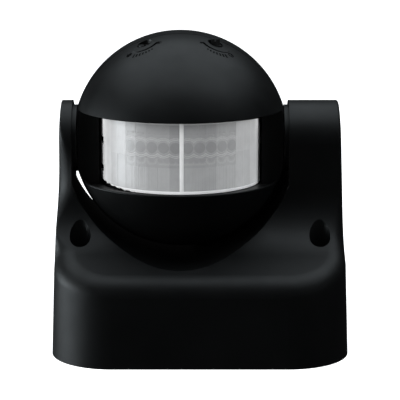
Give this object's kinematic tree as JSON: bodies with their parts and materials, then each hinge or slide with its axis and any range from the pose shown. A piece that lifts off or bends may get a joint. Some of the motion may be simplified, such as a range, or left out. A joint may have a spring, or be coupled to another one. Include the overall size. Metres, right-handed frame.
{
  "type": "motion sensor",
  "caption": "Passive infra-red motion sensor: a ball head with a wide curved lens window tilts between two arms of a saddle-shaped wall base, with adjusting dials on top.",
  "frame": {"origin": "middle of the base's footprint, in the plane of the mounting face", "axes": "+Z away from the mounting face, through the base and head; -Y is where the lens looks at rest; +X towards the thick arm"},
  "size_m": [0.085, 0.071, 0.0907],
  "materials": {
    "housing_plastic": "satin black moulded plastic",
    "shell_plastic": "satin black moulded plastic",
    "plate_plastic": "black moulded plastic",
    "frame_plastic": "matt black plastic",
    "dial_plastic": "black plastic",
    "rubber": "black rubber",
    "lead_sheath": "black sheath",
    "core_insulation": "core insulation",
    "screw_steel": "zinc plated",
    "clamp_brass": "plated brass",
    "block_plastic": "pale plastic",
    "lens_plastic": "frosted white polyethylene",
    "board": "green laminate",
    "can_metal": "nickel plated can",
    "filter_glass": "dark silicon filter",
    "lamp_plastic": "red tinted lamp",
    "component_black": "black epoxy",
    "trimmer_plastic": "blue plastic",
    "film_yellow": "yellow case",
    "capacitor_sleeve": "dark sleeve",
    "sensor_ceramic": "coated ceramic",
    "resistor_body": "beige lacquer"
  },
  "bodies": {
    "base": {"base_housing": "housing_plastic", "back_plate": "plate_plastic", "plate_gasket": "rubber", "housing_screws": "screw_steel", "cable_grommet": "rubber", "terminal_block": "block_plastic", "terminal_clamps": "clamp_brass", "terminal_screws": "screw_steel", "block_screws": "screw_steel", "cord_clamp": "plate_plastic", "clamp_screws": "screw_steel", "left_pivot_seal": "rubber", "right_pivot_seal": "rubber", "base_lead": "lead_sheath", "lead_cores": "core_insulation"},
    "head": {"front_shell": "shell_plastic", "rear_shell": "shell_plastic", "shell_gasket": "rubber", "shell_screws": "screw_steel", "fresnel_lens": "lens_plastic", "lens_frame": "frame_plastic", "thrust_washer": "frame_plastic", "stop_ring": "frame_plastic", "head_lead": "lead_sheath", "circuit_board": "board", "trimmer_board": "board", "board_screws": "screw_steel", "pir_detector": "can_metal", "pir_window": "filter_glass", "detector_spacer": "plate_plastic", "indicator_led": "lamp_plastic", "regulator": "component_black", "light_trimmer": "trimmer_plastic", "time_trimmer": "trimmer_plastic", "relay": "block_plastic", "film_capacitor": "film_yellow", "control_chip": "component_black", "electrolytic_capacitors": "capacitor_sleeve", "light_sensor": "sensor_ceramic", "rectifier_diodes": "component_black", "resistors": "resistor_body"},
    "light_dial": {"light_dial": "dial_plastic"},
    "time_dial": {"time_dial": "dial_plastic"}
  },
  "joints": [
    {"name": "head_tilt", "type": "hinge", "parent": "base", "child": "head", "pos_m": [-0.00564, 0, 0.05945], "axis": [1, 0, 0], "range_deg": [-90, 25]},
    {"name": "light_dial_turn", "type": "hinge", "parent": "head", "child": "light_dial", "pos_m": [-0.01564, -0.008, 0.08745], "axis": [0, 0, 1], "range_deg": [-135, 135]},
    {"name": "time_dial_turn", "type": "hinge", "parent": "head", "child": "time_dial", "pos_m": [0.00436, -0.008, 0.08745], "axis": [0, 0, 1], "range_deg": [-135, 135]}
  ]
}
